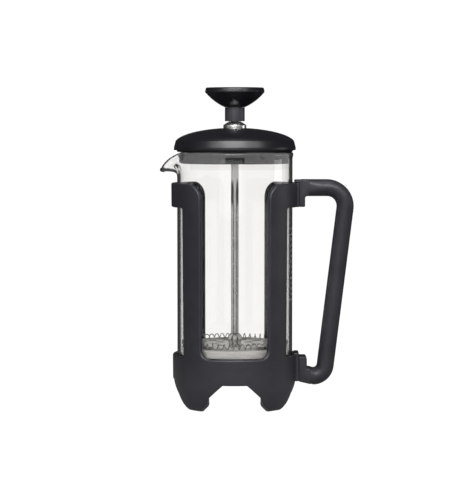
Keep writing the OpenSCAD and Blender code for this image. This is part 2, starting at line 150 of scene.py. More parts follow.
moulding = {
    # each noise is its scale per metre, its detail and its roughness
    "drift": (38, 4, 0.6),
    "grain": (2600, 2, 0.7),
    "patch": (95, 5, 0.65),
    "hair": (1500, 1, 0.4),
    "hairStretch": (1, 1, 0.06),
    # each span is where a noise starts and ends to show
    "driftSpan": (0.3, 0.7),
    "patchSpan": (0.52, 0.72),
    "hairSpan": (0.66, 0.72),
    "hairGrey": 0.06,
    "hairMix": 0.35,
    "hairRise": 0.4,
    "hairRough": 0.15,
    "grainRough": 0.10,
    "depth": 0.02,
}


def plastic(name):
    # moulded plastic: a fine spark-eroded grain, slow colour drift, rubbed patches and hairlines
    values, m = plastics[name], moulding
    material, book = finish(name)
    coords = book.coords()
    drift = book.noise(coords, *m["drift"])
    grain = book.noise(coords, *m["grain"])
    patch = book.ramp(book.noise(coords, *m["patch"]), *m["patchSpan"])
    hair = book.noise(book.stretch(coords, m["hairStretch"]), *m["hair"])
    hairline = book.ramp(hair, *m["hairSpan"]) * patch
    cool, deep = [(shade, shade, shade * values["blue"], 1) for shade in (values["light"], values["dark"])]
    colour = book.blend(book.ramp(drift, *m["driftSpan"]), deep, cool)
    colour = book.blend(hairline * m["hairMix"], colour, grey(m["hairGrey"]))
    rough = values["rough"] + (grain - 0.5) * m["grainRough"]
    rough = rough - patch * values["scuff"] + hairline * m["hairRough"]
    surface(book, {
        "Base Color": colour,
        "Roughness": rough,
        "Specular IOR Level": values["gloss"],
        "Normal": book.bump(grain + hairline * m["hairRise"], values["grain"], m["depth"]),
    })
    return material


metals = {
    "rodSteel": dict(dark=0.52, light=0.66, rough=0.16, along=True, turn=2400),
    "bushChrome": dict(dark=0.82, light=0.92, rough=0.28, along=False, turn=900),
    "hubChrome": dict(dark=0.58, light=0.70, rough=0.10, along=False, turn=900),
    "plateSteel": dict(dark=0.58, light=0.72, rough=0.30, along=True, turn=700),
    "springWire": dict(dark=0.34, light=0.50, rough=0.20, along=True, turn=1500),
    "brass": dict(dark=0.40, light=0.52, rough=0.24, along=False, turn=900),
}

turning = {
    "lines": (2, 0.6),  # the tool lines' detail and roughness
    "film": (120, 4, 0.6),
    "spots": (700, 1, 0.4),
    "filmSpan": (0.45, 0.75),
    "spotSpan": (0.66, 0.72),
    "along": (1, 1, 0.02),  # squeeze of lines that run up a piece
    "around": (0.05, 0.05, 1),
    "lineRough": 0.08,
    "filmRough": 0.06,
    "spotRough": 0.12,
    "spotRise": 0.3,
    "strength": 0.18,
    "depth": 0.006,
    "steelTint": (0.99, 0.985, 0.96),
    "brassTint": (1.0, 0.74, 0.36),
}


def metal(name):
    # turned or drawn metal: fine tool lines, faint water spots and a duller film in patches
    values, t = metals[name], turning
    material, book = finish(name)
    coords = book.coords()
    squeeze = t["along"] if values["along"] else t["around"]
    lines = book.noise(book.stretch(coords, squeeze), values["turn"], *t["lines"])
    film = book.ramp(book.noise(coords, *t["film"]), *t["filmSpan"])
    spots = book.ramp(book.noise(coords, *t["spots"]), *t["spotSpan"])
    tint = t["brassTint"] if name == "brass" else t["steelTint"]
    dark, light = [tuple(values[key] * share for share in tint) + (1,) for key in ("dark", "light")]
    rough = values["rough"] + (lines - 0.5) * t["lineRough"] + film * t["filmRough"]
    surface(book, {
        "Base Color": book.blend(film, light, dark),
        "Metallic": 1.0,
        "Roughness": rough + spots * t["spotRough"],
        "Normal": book.bump(lines + spots * t["spotRise"], t["strength"], t["depth"]),
    })
    return material


glassLook = {
    "index": 1.47,
    "tint": (0.930, 0.926, 0.916, 1),
    "haze": 0.05,
    "wave": (26, 1, 0.4),
    "waveStretch": (1, 1, 0.25),
    "waveStrength": 0.10,
    "waveDepth": 0.25,
    "smear": (60, 4, 0.6),
    "smearSpan": (0.60, 0.80),
    "drops": (420, 1, 0.3),
    "dropSpan": (0.70, 0.74),
}


def glass():
    # drawn tube glass: slow waves along its height, finger marks and dried water drops
    g = glassLook
    material, book = finish("beakerGlass")
    coords = book.coords()
    wave = book.noise(book.stretch(coords, g["waveStretch"]), *g["wave"])
    smear = book.ramp(book.noise(coords, *g["smear"]), *g["smearSpan"])
    drops = book.ramp(book.noise(coords, *g["drops"]), *g["dropSpan"])
    surface(book, {
        "Base Color": g["tint"],
        "Roughness": smear * g["haze"] + drops * g["haze"],
        "IOR": g["index"],
        "Transmission Weight": 1.0,
        "Normal": book.bump(wave, g["waveStrength"], g["waveDepth"]),
    })
    return material


gauzeLook = {
    "pitch": 0.42,
    "wire": 0.50,  # how much of the pitch is wire
    "edge": 0.06,  # softness of the wire's edge
    "dark": 0.66,
    "light": 0.90,
    "paintedWireShade": 0.50,  # painted shade: grey on each wire's flanks and in the gaps between the wires
    # where the painted shade gives way to the wire's own colour, from flank to crown
    "paintedShadeSpan": (0.55, 0.95),
    "warm": 0.03,
    "tarnish": (90, 4, 0.6),
    "metallic": 0.45,
    "rough": 0.42,
    "roughDrift": 0.2,
    "weave": 0.35,  # rise of a wire that passes over another
    "strength": 0.7,
    "depth": 0.15,
}


def gauze():
    # woven steel cloth: two sets of round wires that pass over and under, open between them, with shade
    # painted on the wires' flanks
    g = gauzeLook
    material, book = finish("gauzeSteel")
    across, up, _ = book.split(book.coords("UV"))
    turn = pi / (g["pitch"] * mm)
    warp = book.calc("ABSOLUTE", book.calc("SINE", across * turn))
    weft = book.calc("ABSOLUTE", book.calc("SINE", up * turn))
    cover = book.calc("MAXIMUM", warp, weft)
    over = book.calc("SINE", across * turn * 0.5) * book.calc("SINE", up * turn * 0.5)
    tarnish = book.noise(book.coords(), *g["tarnish"])
    shade = book.blend(tarnish, grey(g["dark"], g["warm"]), grey(g["light"], g["warm"]))
    surface(book, {
        # painted shade: each wire's colour fades to the shade grey towards its edges, as a round wire turning
        # from the light
        "Base Color": book.blend(book.ramp(cover, *g["paintedShadeSpan"]), grey(g["paintedWireShade"]), shade),
        "Metallic": g["metallic"],
        "Roughness": g["rough"] + (tarnish - 0.5) * g["roughDrift"],
        "Alpha": book.ramp(cover, g["wire"] - g["edge"], g["wire"] + g["edge"]),
        "Normal": book.bump(book.calc("POWER", cover, 2.0) + over * g["weave"], g["strength"], g["depth"]),
    })
    return material


inkLook = {"colour": (0.30, 0.30, 0.31, 1), "worn": 0.10, "wear": (900, 3, 0.6), "rough": 0.5,
           "roughDrift": 0.3, "strength": 0.3, "depth": 0.01}


def ink():
    # fired enamel of the level marks, a little worn through
    k = inkLook
    material, book = finish("markInk")
    worn = book.noise(book.coords(), *k["wear"])
    surface(book, {
        "Base Color": book.blend(worn, k["colour"], grey(k["worn"])),
        "Roughness": k["rough"] + (worn - 0.5) * k["roughDrift"],
        "Normal": book.bump(worn, k["strength"], k["depth"]),
    })
    return material


look = {name: plastic(name) for name in plastics}
look.update({name: metal(name) for name in metals})
look.update(glass=glass(), gauze=gauze(), ink=ink())
print("materials made:", len(look))


# ---- mesh helpers

weld = 1e-7  # metres within which points are one


def corner(before, here, after, radius, steps=5):
    # points of a rounded corner, or the sharp one where radius is 0
    if radius <= 0:
        return [here]
    p, a, b = Vector(here), Vector(before), Vector(after)
    u, v = (a - p).normalized(), (b - p).normalized()
    half = u.angle(v) / 2
    if half > radians(88):
        return [here]
    reach = min(radius / tan(half), 0.49 * (a - p).length, 0.49 * (b - p).length)
    radius = reach * tan(half)
    centre = p + (u + v).normalized() * (radius / sin(half))
    start, end = p + u * reach - centre, p + v * reach - centre
    sweep = start.angle_signed(end)
    points = []
    for i in range(steps + 1):
        turned = start.copy()
        turned.rotate(Matrix.Rotation(-sweep * i / steps, 2))
        points.append(tuple(centre + turned))
    return points


def rounded(points, closed=True, steps=5):
    # points are (r, z) or (r, z, radius of the rounding)
    flat = [tuple(p[:2]) for p in points]
    out = []
    for i, p in enumerate(points):
        radius = p[2] if len(p) > 2 else 0
        if not closed and i in (0, len(points) - 1):
            out.append(flat[i])
        else:
            out += corner(flat[i - 1], flat[i], flat[(i + 1) % len(flat)], radius, steps)
    return out


def arcPoints(cx, cz, radius, start, end, steps=8):
    angles = [radians(start + (end - start) * i / steps) for i in range(steps + 1)]
    return [(cx + radius * cos(a), cz + radius * sin(a)) for a in angles]


def shell(bm, rows, closedLoop=True, turn=True):
    # faces between rows of points; a row that is one point closes the end
    verts = []
    for row in rows:
        verts.append([bm.verts.new([c * mm for c in p]) for p in row])
    span = len(verts)
    for k in range(span if turn else span - 1):
        a, b = verts[k], verts[(k + 1) % span]
        count = len(a)
        for i in range(count if closedLoop else count - 1):
            j = (i + 1) % count
            bm.faces.new((a[i], a[j], b[j], b[i]))
    return verts


def tube(bm, rows):
    # a shell that is closed at both ends
    ends = shell(bm, rows, turn=False)
    bm.faces.new(ends[0])
    bm.faces.new(ends[-1])


def turned(bm, outline, steps=96):
    # revolves a closed (r, z) outline, or one that starts and ends on the axis
    onAxis = outline[0][0] < 1e-6 and outline[-1][0] < 1e-6
    rows = []
    for k in range(steps):
        a = 2 * pi * k / steps
        rows.append([(r * cos(a), r * sin(a), z) for r, z in outline])
    shell(bm, rows, closedLoop=not onAxis)


def thicken(bm, points, depth):
    # a flat outline made solid towards +Y
    face = bm.faces.new([bm.verts.new(p) for p in points])
    grown = bmesh.ops.extrude_face_region(bm, geom=[face])
    far = [v for v in grown["geom"] if isinstance(v, bmesh.types.BMVert)]
    bmesh.ops.translate(bm, verts=far, vec=(0, depth, 0))


def soften(bm, edges, width, segments, clamp=False):
    bmesh.ops.bevel(bm, geom=edges, offset=width, offset_type="OFFSET", segments=segments,
                    profile=0.5, affect="EDGES", clamp_overlap=clamp)


def settle(bm):
    # the same points and faces in a fixed order: extruding and triangulating list them in an
    # order that changes from run to run, and what a weld keeps depends on it
    points = sorted(bm.verts, key=lambda v: tuple(v.co))
    number = {v: i for i, v in enumerate(points)}
    loops = []
    for face in bm.faces:
        loop = [number[v] for v in face.verts]
        first = loop.index(min(loop))
        loops.append(loop[first:] + loop[:first])
    made = bmesh.new()
    verts = [made.verts.new(v.co) for v in points]
    for loop in sorted(loops):
        made.faces.new([verts[i] for i in loop])
    bm.free()
    return made


def pour(bm, part):
    # adds a finished part to a mesh in the making
    mesh = bpy.data.meshes.new("part")
    part.to_mesh(mesh)
    part.free()
    bm.from_mesh(mesh)
    bpy.data.meshes.remove(mesh)


def tidyMesh(bm, name, sharp=32):
    bmesh.ops.remove_doubles(bm, verts=bm.verts, dist=weld)
    bmesh.ops.dissolve_degenerate(bm, dist=weld, edges=bm.edges)
    bmesh.ops.recalc_face_normals(bm, faces=bm.faces)
    mesh = bpy.data.meshes.new(name)
    bm.to_mesh(mesh)
    bm.free()
    mesh.shade_smooth()
    mesh.set_sharp_from_angle(angle=radians(sharp))
    return mesh


def newObject(name, data):
    made = bpy.data.objects.new(name, data)
    scene.collection.objects.link(made)
    return made


def evaluated(piece):
    # the plain mesh that a piece's modifiers make of it
    graph = bpy.context.evaluated_depsgraph_get()
    return bpy.data.meshes.new_from_object(piece.evaluated_get(graph))


def place(name, mesh, material, body, nodes=()):
    piece = newObject(name, mesh)
    if material:
        mesh.materials.append(look[material])
    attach(piece, body)
    if nodes:
        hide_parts(*nodes)
    print("made", name, len(mesh.polygons), "faces")
    return piece


def turnedPiece(name, outline, material, body, nodes, steps=96):
    bm = bmesh.new()
    turned(bm, rounded(outline, outline[0][0] > 0), steps)
    place(name, tidyMesh(bm, name), material, body, nodes)


def ringOutline(sizes):
    # a plain ring; soft is the rounding of its corners, from the hole's foot round to its top
    hole, radius, low, high = [sizes[key] for key in ("hole", "radius", "low", "high")]
    spots = ((hole, low), (radius, low), (radius, high), (hole, high))
    return [spot + (soft,) for spot, soft in zip(spots, sizes["soft"])]


def block(bm, low, high, soft, segments=3):
    # a box with rounded edges
    part = bmesh.new()
    bmesh.ops.create_cube(part, size=1)
    centre = [(a + b) / 2 for a, b in zip(low, high)]
    for v in part.verts:
        v.co = Vector([(c + w * (b - a)) * mm for c, w, a, b in zip(centre, v.co, low, high)])
    soften(part, part.edges[:], soft * mm, segments)
    pour(bm, part)


def slab(bm, outline, half, soft):
    # an (x, z) outline made solid from -half to half, its two rims rounded
    part = bmesh.new()
    thicken(part, [(x * mm, -half * mm, z * mm) for x, z in outline], 2 * half * mm)
    rims = [e for e in part.edges if abs(e.verts[0].co.y - e.verts[1].co.y) < weld]
    soften(part, rims, soft * mm, 3, True)
    bmesh.ops.triangulate(part, faces=[g for g in part.faces if len(g.verts) > 4])
    pour(bm, settle(part))


# ---- frame

frameShape = {
    "bore": 36.3,  # inside, round the glass
    "footBore": 31.0,  # inside of the feet
    "footTop": 20.0,
    "lowRadius": 38.8,  # outside above the feet
    "topRadius": 39.7,  # outside at the top
    "height": 140.0,
    "drawZ": 16.0,  # the feet draw in below this
    "drawRadius": 39.5,
    "toeRadius": 3.0,
    "toeX": 33.6,  # middle of the toe's rounding
    "toeTilt": -8.0,  # degrees on the toe where the side meets it
    "toeBlend": 2.0,  # height over which the side runs into the toe
    "ringTop": 33.1,  # bottom of the windows
    "bandLow": 125.0,  # underside of the side bands
    "windowEdge": 32.6,  # half angle of the front and back windows
    "windowCorner": 5.5,
    "postCorner": 10.0,
    "sideHalf": 21.5,
    "sideRadius": 38.0,  # outside where the side windows end
    "sideCorner": 1.6,
    "archTop": (7.5, 17.3),
    "archCorner": 0.8,
    "archKnee": (15.6, 9.5),
    "kneeRadius": 38.2,
    "kneeCorner": 0.6,
    "archHeel": (17.7, 4.2),
    "heelRadius": 36.4,
    "heelCorner": 7.0,
    "toeAngle": 37.5,  # where a foot's side meets the table
    "straightFrom": 3.0,  # below this the arch's sides point at the axis
    "straightTo": 26.0,  # degrees past which they turn back to it
    "edge": 1.0,  # rounding of the outer edges
    "archEdge": 0.8,
    "innerEdge": 0.6,
    "edgeSlack": 0.1,
    "unroll": 39.0,  # radius on which the wall is drawn flat
    "flatWall": 3.4,  # its thickness while flat
    "cutStep": 2.25,  # degrees between the upright cuts that let it bend
    "cutLevels": (0.05, 0.3, 0.8, 1.4, 2.1, 3, 4, 5.5, 7, 8.5, 10, 12, 14, 16, 19.6, 20.4, 23, 50, 80, 110),
    "ledge": (27.0, 20.0, 24.0),
    "ledgeBite": 1.0,  # how far the ledge goes into the wall
    "ledgeDrop": 0.1,  # gap under the glass
    "flat": (36.8, 40.0, 8.1),  # pads behind the handle: from, to and half width
    "lowFlat": (16.2, 33.9),
    "flatEdge": 0.5,
}


def frameRadius(z):
    f = frameShape
    if z >= f["drawZ"]:
        share = (z - f["drawZ"]) / (f["height"] - f["drawZ"])
        return f["lowRadius"] + share * (f["topRadius"] - f["lowRadius"])
    toe, draw = f["toeRadius"], f["drawRadius"]
    tilt = radians(f["toeTilt"])
    joinZ = toe + toe * sin(tilt)
    if z < joinZ:
        return f["toeX"] + sqrt(max(0, toe ** 2 - (z - toe) ** 2))

    def sideX(level):
        return f["lowRadius"] - draw + sqrt(draw ** 2 - (level - f["drawZ"]) ** 2)

    blend = max(0.0, min(1.0, (z - joinZ) / f["toeBlend"]))
    return sideX(z) + (f["toeX"] + toe * cos(tilt) - sideX(joinZ)) * (1 - blend)


def frameQuarter():
    # a quarter of the frame from the front (0) to the right side (90), unrolled flat
    f = frameShape
    perDegree = f["unroll"] * pi / 180
    quarter = 90 * perDegree
    thick = f["flatWall"]

    def along(x, radius):
        return degrees(asin(x / radius)) * perDegree

    archX, archZ = f["archTop"]
    kneeX, kneeZ = f["archKnee"]
    heelX, heelZ = f["archHeel"]
    window = f["windowEdge"] * perDegree
    side = quarter - along(f["sideHalf"], f["sideRadius"])
    foot = [(along(archX, f["lowRadius"]), archZ, f["archCorner"]),
            (along(kneeX, f["kneeRadius"]), kneeZ, f["kneeCorner"]),
            (along(heelX, f["heelRadius"]), heelZ, f["heelCorner"]),
            (f["toeAngle"] * perDegree, 0, f["archCorner"])]
    farFoot = [(quarter - x, z, soft) for x, z, soft in reversed(foot)]
    outline = rounded([(0, archZ)] + foot + farFoot + [
        (quarter, archZ), (quarter, f["ringTop"]), (side, f["ringTop"], f["sideCorner"]),
        (side, f["bandLow"], f["sideCorner"]), (quarter, f["bandLow"]),
        (quarter, f["height"]), (window, f["height"], f["postCorner"]),
        (window, f["ringTop"], f["windowCorner"]), (0, f["ringTop"]),
    ], True, 8)
    bm = bmesh.new()
    thicken(bm, [(s, 0, z) for s, z in outline], thick)
    bmesh.ops.recalc_face_normals(bm, faces=bm.faces)
    close = 1e-4

    def atSeam(v, seams=(0, quarter)):
        return any(abs(v.co.x - seam) < close for seam in seams)

    ends = [g for g in bm.faces if any(all(atSeam(v, [seam]) for v in g.verts) for seam in (0, quarter))]
    bmesh.ops.delete(bm, geom=ends, context="FACES")

    def edgesAt(y, low, high):
        return [e for e in bm.edges if all(abs(v.co.y - y) < close and low <= v.co.z <= high
                for v in e.verts) and not all(atSeam(v) for v in e.verts)]

    soften(bm, edgesAt(0, archZ + 2, inf), f["edge"], 5)
    soften(bm, edgesAt(0, -inf, archZ + 1), f["archEdge"], 3)
    soften(bm, edgesAt(thick, -inf, inf), f["innerEdge"], 2)
    big = [g for g in bm.faces if len(g.verts) > 4]
    bmesh.ops.triangulate(bm, faces=big, quad_method="BEAUTY", ngon_method="EAR_CLIP")
    columns = range(1, round(90 / f["cutStep"]))
    cuts = [((i * perDegree * f["cutStep"], 0, 0), (1, 0, 0)) for i in columns]
    cuts += [((0, 0, z), (0, 0, 1)) for z in f["cutLevels"]]
    for spot, normal in cuts:
        bmesh.ops.bisect_plane(bm, geom=bm.verts[:] + bm.edges[:] + bm.faces[:], dist=1e-5,
                               plane_co=spot, plane_no=normal)
    bm = settle(bm)
    skin = thick - f["innerEdge"] - f["edgeSlack"]  # the roundings keep their depth, whatever the wall is
    limit = radians(f["straightTo"])
    for v in bm.verts:
        s, deep, z = v.co
        angle = radians(s / perDegree)
        outer = frameRadius(z)
        inner = f["footBore"] if z < f["footTop"] else f["bore"]
        if deep <= f["edge"]:
            radius = outer - deep
        elif deep < skin:
            share = (deep - f["edge"]) / (skin - f["edge"])
            radius = (outer - f["edge"]) + share * (inner + thick - skin - outer + f["edge"])
        else:
            radius = inner + thick - deep
        if z < f["footTop"]:
            # the arch is cut straight through above its knee, and towards the axis below
            around = min(angle, pi / 2 - angle)
            straight = asin(min(0.99, outer * sin(around) / radius)) - around
            keep = max(0.0, min(1.0, (z - f["straightFrom"]) / (kneeZ - f["straightFrom"])))
            if around > limit:
                straight = asin(outer * sin(limit) / radius) - limit
                keep *= (pi / 4 - around) / (pi / 4 - limit)
            angle += straight * keep * (1 if angle < pi / 4 else -1)
        v.co = Vector((radius * sin(angle), -radius * cos(angle), z)) * mm
    return bm


def buildFrame():
    f = frameShape
    quarter = frameQuarter()
    mesh = bpy.data.meshes.new("quarter")
    quarter.to_mesh(mesh)
    quarter.free()
    bm = bmesh.new()
    for sx, sy in ((1, 1), (-1, 1), (1, -1), (-1, -1)):
        before = len(bm.verts)
        bm.from_mesh(mesh)
        bm.verts.ensure_lookup_table()
        for v in bm.verts[before:]:
            v.co.x *= sx
            v.co.y *= sy
    bpy.data.meshes.remove(mesh)
    bmesh.ops.remove_doubles(bm, verts=bm.verts, dist=2e-6)
    inner, low, high = f["ledge"]
    ledge = {"hole": inner, "radius": f["bore"] + f["ledgeBite"], "low": low, "high": high - f["ledgeDrop"],
             "soft": (0.5, 0, 0, 0.5)}
    turned(bm, rounded(ringOutline(ledge)), 120)
    x0, x1, half = f["flat"]
    for z0, z1 in ((f["bandLow"], f["height"]), f["lowFlat"]):
        block(bm, (x0, -half, z0), (x1, half, z1), f["flatEdge"])
    result = tidyMesh(bm, "frame_shell", 50)
    piece = place("frame_shell", result, "framePlastic", "frame", ["frame"])
    piece.modifiers.new("weights", "WEIGHTED_NORMAL").keep_sharp = True


buildFrame()


# ---- handle

handleShape = {
    "thick": 10.5,
    "width": 15.0,
    "topZ": 136.9,
    "lowZ": 18.7,
    "topBend": (57.4, 125.4, 11.5),
    "lowBend": (49.07, 26.4, 7.7),
    "lean": 7.0,
    "start": 41.5,
    "straight": (46, 52),  # further points of the straight bars
    "lowRise": (0.9, 1.6),  # how much the lower bar rises towards the pad
    "steps": (24, 12, 18),  # round the top bend, down the grip, round the low bend
    "sides": 40,
    "padHalf": 7.5,
    "padEdge": 0.8,
    # outlines of the pads against the frame, with the roundings of their corners
    "topPad": [(39.95, 125.1, 0.6), (43.7, 125.1, 0.9), (43.7, 131.9, 1.4), (46.5, 131.9), (46.5, 141.9),
               (39.95, 141.9, 1.5)],
    "lowPad": [(39.95, 15.9, 0.8), (47.5, 14.2), (47.5, 24.0), (45.0, 24.2, 2.0), (45.0, 31.5, 1.5),
               (39.95, 31.5, 0.6)],
    "squareRun": 9.0,  # how far from the pads the bars turn from square to round
    "square": 1.6,  # how square they are at the pads
    "lowThin": 0.75,  # how much thinner the lower bar is there
    "topHook": (37.2, 42.5, 139.9, 141.9),  # the pad's lip over the band
}


def bendLine(bend, start, end, steps):
    # (x, z, outward angle) points round one bend of the handle's middle line
    x, z, radius = bend
    angles = [start + (end - start) * i / steps for i in range(steps + 1)]
    return [(x + radius * cos(radians(a)), z + radius * sin(radians(a)), a)
            for a in angles]


def buildHandle():
    h = handleShape
    topSteps, gripSteps, lowSteps = h["steps"]
    nearX, farX = h["straight"]
    line = [(h["start"], h["topZ"], 90), (nearX, h["topZ"], 90), (farX, h["topZ"], 90)]
    line += bendLine(h["topBend"], 90, -h["lean"], topSteps)
    low = bendLine(h["lowBend"], -h["lean"], -90, lowSteps)
    gripTop, gripEnd = line[-1], low[0]
    for i in range(1, gripSteps):
        share = i / gripSteps
        line.append((gripTop[0] + (gripEnd[0] - gripTop[0]) * share,
                     gripTop[1] + (gripEnd[1] - gripTop[1]) * share, -h["lean"]))
    line += low
    line += [(x, h["lowZ"] + rise, -90) for x, rise in zip((nearX, h["start"]), h["lowRise"])]
    rows = []
    for x, z, a in line:
        half = h["thick"] / 2
        near = max(0.0, 1 - (x - h["start"]) / h["squareRun"]) if abs(a) > 80 else 0.0
        if a < 0:
            half -= h["lowThin"] * near
        power = 1 / (1 + h["square"] * near)
        spread = h["width"] / 2 - half
        out = (cos(radians(a)), sin(radians(a)))
        row = []
        for k in range(h["sides"]):
            t = 2 * pi * (k + 0.5) / h["sides"]
            reach = half * copysign(abs(cos(t)) ** power, cos(t))
            across = copysign(half * abs(sin(t)) ** power + spread, sin(t))
            row.append((x + reach * out[0], across, z + reach * out[1]))
        rows.append(row)
    bm = bmesh.new()
    tube(bm, rows)
    for outline in (h["topPad"], h["lowPad"]):
        slab(bm, rounded(outline), h["padHalf"], h["padEdge"])
    x0, x1, z0, z1 = h["topHook"]
    block(bm, (x0, -h["padHalf"], z0), (x1, h["padHalf"], z1), h["padEdge"], 4)
    place("handle_grip", tidyMesh(bm, "handle_grip", 45), "handlePlastic", "frame",
          ["handle"])


buildHandle()


# ---- beaker

beakerShape = {
    "middle": 35.0,  # middle of the wall
    "wall": 2.0,
    "bottom": 24.0,
    "floorExtra": 0.5,  # how much thicker the floor is than the wall
    "corner": 5.0,
    "levels": (40, 60, 80, 100, 120, 135),
    "bead": 0.8,  # how far the bead under the lip stands out
    "beadDrop": 0.7,  # how far it is below the lip
    "beadWide": 0.9,
    "beadLip": 0.45,  # how much of it is left on the lip
    "lipAngles": (20, 45, 70, 95, 120, 150),
    "spoutRoot": 143.2,
    "spoutReach": 10.8,
    "spoutHalf": 19.0,
    "spoutLip": 148.2,
    "spoutPower": 1.35,  # higher is a narrower spout
    "tiltPower": 0.7,  # lower is an earlier turn outwards
    "pulls": (0.40, 0.70),  # how stiffly the spout's curve leaves the wall and meets the lip
    "edgeCentre": (29.1, 140.0),
    "edgeRadius": 18.2,
    "curveSteps": 22,
    "turnSteps": 216,
}


def wallPath(side):
    # the (r, z) outline of the glass at this angle from the spout's middle
    b = beakerShape
    share = min(1.0, side / asin(b["spoutHalf"] / b["middle"]))
    pull = ((cos(share * pi) + 1) / 2) ** b["spoutPower"]
    lipR = b["middle"] + b["spoutReach"] * pull
    past = max(0.0, lipR * cos(side) - b["edgeCentre"][0])
    lift = sqrt(max(0.0, b["edgeRadius"] ** 2 - past ** 2))
    start = Vector((b["middle"], b["spoutRoot"]))
    end = Vector((lipR, max(b["spoutLip"], b["edgeCentre"][1] + lift)))
    run = (end - start).length
    tilt = pi / 2 * (1 - pull ** b["tiltPower"])
    toward = Vector((cos(tilt), sin(tilt)))
    first, second = start + Vector((0, b["pulls"][0] * run)), end - toward * b["pulls"][1] * run
    second.x = max(second.x, b["middle"])  # never in towards the filter
    half = b["wall"] / 2
    outer, inner = [], []
    for i in range(b["curveSteps"] + 1):
        u = i / b["curveSteps"]
        v = 1 - u
        spot = start * v ** 3 + first * 3 * u * v * v + second * 3 * u * u * v + end * u ** 3
        slope = (first - start) * v * v + (second - first) * 2 * u * v + (end - second) * u * u
        slope.normalize()
        normal = Vector((slope.y, -slope.x))
        fromLip = (end - spot).length
        bead = b["bead"] * exp(-((fromLip - b["beadDrop"]) / b["beadWide"]) ** 2)
        outer.append(tuple(spot + normal * (half + bead)))
        inner.append(tuple(spot - normal * half))
    lip = []
    for angle in b["lipAngles"]:
        turn = radians(angle)
        reach = half + b["bead"] * b["beadLip"] * max(0.0, cos(turn))
        lip.append(tuple(end + normal * cos(turn) * reach + slope * sin(turn) * half))
    outR, inR = b["middle"] + half, b["middle"] - half
    inCorner = b["corner"] - b["wall"]
    floorZ = b["bottom"] + b["wall"] + b["floorExtra"]
    path = [(0, b["bottom"])]
    path += arcPoints(outR - b["corner"], b["bottom"] + b["corner"], b["corner"], -90, 0, 8)
    path += [(outR, z) for z in b["levels"]] + outer + lip + list(reversed(inner))
    path += [(inR, z) for z in reversed(b["levels"])]
    path += arcPoints(inR - inCorner, floorZ + inCorner, inCorner, 0, -90, 7)
    return path + [(0, floorZ)]


def buildBeaker():
    bm = bmesh.new()
    rows = []
    for k in range(beakerShape["turnSteps"]):
        angle = 2 * pi * k / beakerShape["turnSteps"]
        side = abs(remainder(angle - pi, 2 * pi))  # the spout is at -X
        rows.append([(r * cos(angle), r * sin(angle), z) for r, z in wallPath(side)])
    shell(bm, rows, closedLoop=False)
    place("beaker_glass", tidyMesh(bm, "beaker_glass", 60), "glass", "beaker", ["beaker"])


buildBeaker()


# ---- lid

lidShape = {
    "radius": 38.05,
    "rim": 159.2,
    "rimSpan": (35.9, 36.3),  # outside of the rim at its foot and under the brim
    "rimLow": 160.3,
    "brim": (160.9, 162.2),  # levels of the brim's upright side
    "shoulder": (36.9, 166.2),
    "domeLow": 163.8,
    "domeRise": 10.4,
    "domeStops": (35.6, 34, 32, 29, 26, 23, 20, 17, 14, 11.5, 9.5),
    "seatZ": 173.3,
    "seatRadius": 8.0,
    "seatWall": 1.6,
    "wall": 2.2,
    "underStops": (12, 16, 20, 24, 28, 31, 33),
    "hole": 4.5,
    "bore": 33.9,
    "boreTop": 163.7,
}


def buildLid():
    d = lidShape

    def domeZ(r):
        return d["domeLow"] + d["domeRise"] * sqrt(1 - (r / d["radius"]) ** 2)

    under = d["seatZ"] - d["seatWall"]
    outline = [(d["bore"], d["rim"], 0.3), (d["rimSpan"][0], d["rim"], 0.3),
               (d["rimSpan"][1], d["rimLow"], 0.2), (d["radius"] - 0.3, d["rimLow"], 0.3),
               (d["radius"], d["brim"][0], 0.4), (d["radius"] - 0.1, d["brim"][1], 0.6),
               d["shoulder"] + (0.5,)]
    outline += [(r, domeZ(r)) for r in d["domeStops"]]
    outline += [(d["seatRadius"] + 0.5, domeZ(d["seatRadius"] + 0.5), 0.3),
                (d["seatRadius"], d["seatZ"], 0.2), (d["hole"], d["seatZ"], 0.2), (d["hole"], under),
                (d["seatRadius"], under)]
    outline += [(r, min(under, domeZ(r) - d["wall"])) for r in d["underStops"]]
    outline += [(d["bore"], d["boreTop"])]
    turnedPiece("lid_dome", outline, "lidPlastic", "lid", ["lid_cap"], 144)


buildLid()

skirtShape = {
    "radius": 33.6,
    "inside": 32.0,
    "low": 152.0,
    "top": 163.6,
    "web": 1.6,
    "webHole": 9.5,
    "notchWidth": 11.6,
    "notchHeight": 4.4,
    "notchDeep": (-36, -28),  # from and to, in y
    "ledgeWidth": 13.6,
    "ledgeHeight": 0.8,
    "ledgeSpan": (32.4, 33.85),
    "ledgeRadius": 33.0,
    "gateSpan": (31.9, 32.7),
    "gateRadius": 32.6,
    "gateOver": 0.4,  # how far the gate laps behind the notch's sides
    "gateLevels": (0.1, 0.5),  # over the skirt's foot, and past the notch's top
    "gateSteps": 40,
    "rib": 0.22,
    "ribSteps": 5,
}


def frontArc(bm, half, radius, steps, outlineAt):
    # sweeps an outline round the front of the skirt, half its width to each side
    rows = []
    for i in range(steps + 1):
        a = asin((-half + 2 * half * i / steps) / radius)
        rows.append([(r * sin(a), -r * cos(a), z) for r, z in rounded(outlineAt(i))])
    tube(bm, rows)


